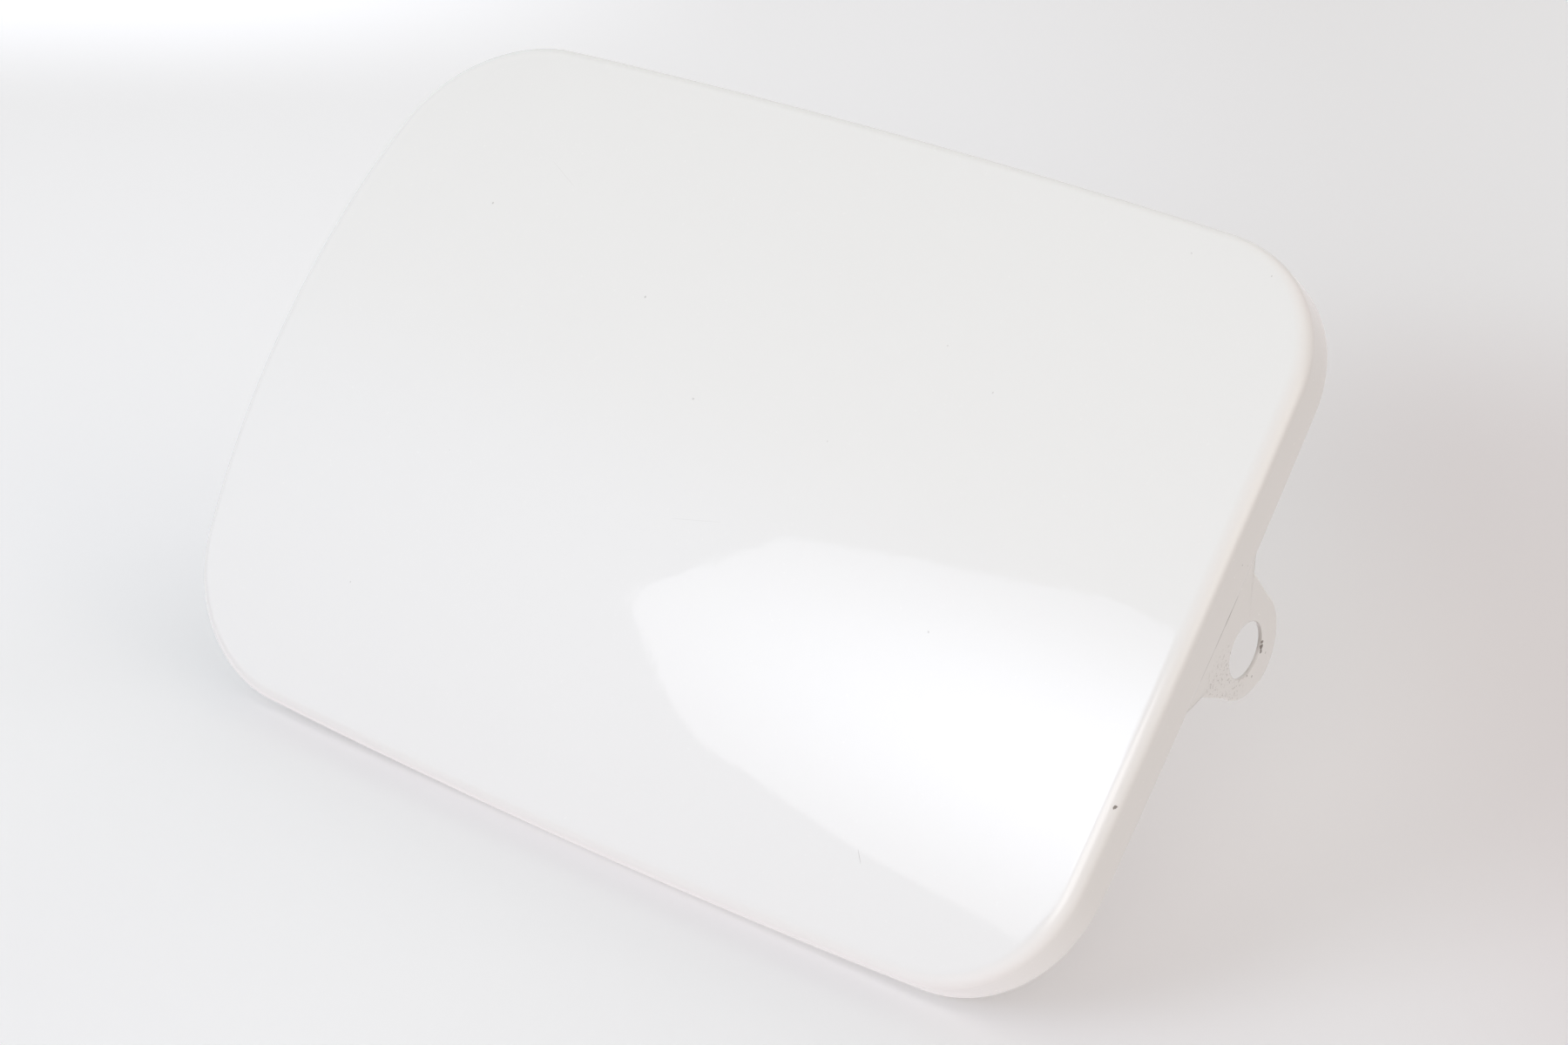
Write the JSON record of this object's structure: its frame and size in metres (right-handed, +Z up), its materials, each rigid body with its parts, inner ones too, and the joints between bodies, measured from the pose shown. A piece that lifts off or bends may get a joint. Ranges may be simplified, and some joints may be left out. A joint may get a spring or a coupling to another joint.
{
  "type": "fuel filler flap",
  "caption": "Curved white steel fuel filler flap with a lock eye on its rim, swinging on a pin hinge with an over-centre leaf spring and a bolt-on bracket.",
  "frame": {"origin": "midway between the two bolt holes, on the back face of the hinge bracket", "axes": "+X along the flap from its hinged end towards the lock eye, +Y into the car along the bracket's bolts, +Z up along the hinge pin, with the flap shut"},
  "size_m": [0.19, 0.048, 0.129],
  "materials": {
    "white_paint": "gloss white paint under clear coat",
    "zinc_plated_steel": "dull zinc plate",
    "yellow_zinc_steel": "yellow passivated zinc",
    "bright_steel": "turned bright steel",
    "spring_steel": "oiled blue-black spring steel",
    "nylon": "natural nylon",
    "black_rubber": "moulded black rubber"
  },
  "bodies": {
    "bracket": {"hinge_bracket": "zinc_plated_steel", "hinge_pin": "bright_steel", "pin_washer": "bright_steel", "pin_clip": "spring_steel", "leaf_spring": "spring_steel", "spring_rivets": "bright_steel", "upper_stop_rubber": "black_rubber", "lower_stop_rubber": "black_rubber"},
    "flap": {"outer_panel": "white_paint", "hinge_plate": "zinc_plated_steel", "weld_nuts": "yellow_zinc_steel", "hinge_arm": "zinc_plated_steel", "arm_washers": "bright_steel", "arm_screws": "yellow_zinc_steel", "upper_bush": "nylon", "lower_bush": "nylon", "upper_buffer": "black_rubber", "lower_buffer": "black_rubber"}
  },
  "joints": [
    {"name": "flap_hinge", "type": "hinge", "parent": "bracket", "child": "flap", "pos_m": [-0.036, -0.033, 0], "axis": [0, 0, -1], "range_deg": [0, 80]}
  ]
}
